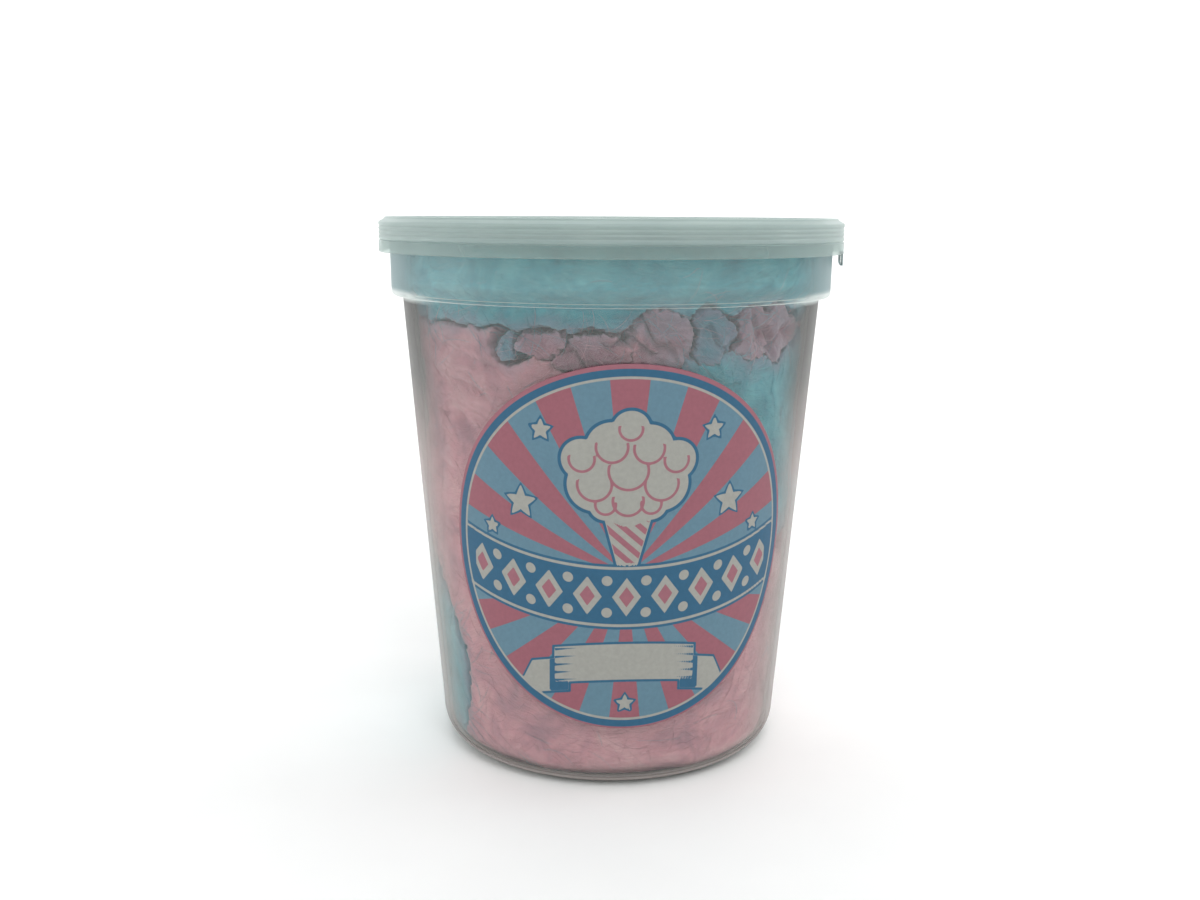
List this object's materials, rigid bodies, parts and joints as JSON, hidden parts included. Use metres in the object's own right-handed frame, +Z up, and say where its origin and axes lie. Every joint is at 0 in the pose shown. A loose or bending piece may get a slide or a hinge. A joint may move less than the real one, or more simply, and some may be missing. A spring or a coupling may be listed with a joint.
{
  "type": "tub of cotton candy",
  "caption": "Round clear plastic tub with a press-on lid, packed with pink and blue spun sugar, with a round sticker on its tapered wall.",
  "frame": {"origin": "centre of the circle that the tub stands on, at the bottom", "axes": "+Z up along the tub's axis, -Y is the front with the label, +X to the right seen from the front"},
  "size_m": [0.12, 0.12, 0.139],
  "materials": {
    "clear_tub": "clear injection-moulded polypropylene, slightly hazy",
    "cloudy_lid": "natural translucent polypropylene, satin",
    "label": "printed paper sticker, satin",
    "pink_floss": "spun sugar, matte and fibrous",
    "blue_floss": "spun sugar, matte and fibrous"
  },
  "bodies": {
    "root": {"tub": "clear_tub", "lid": "cloudy_lid", "label": "label", "floss_pink_tuft_left": "pink_floss", "floss_blue_tuft_left": "blue_floss", "floss_pink_tuft_middle": "pink_floss", "floss_pink_tuft_low": "pink_floss", "floss_blue_tuft_right": "blue_floss", "floss_pink_tuft_right": "pink_floss", "floss_blue_right": "blue_floss", "floss_blue_left": "blue_floss", "floss_blue_back": "blue_floss", "floss_blue_top": "blue_floss", "floss_pink_base": "pink_floss"}
  },
  "joints": []
}
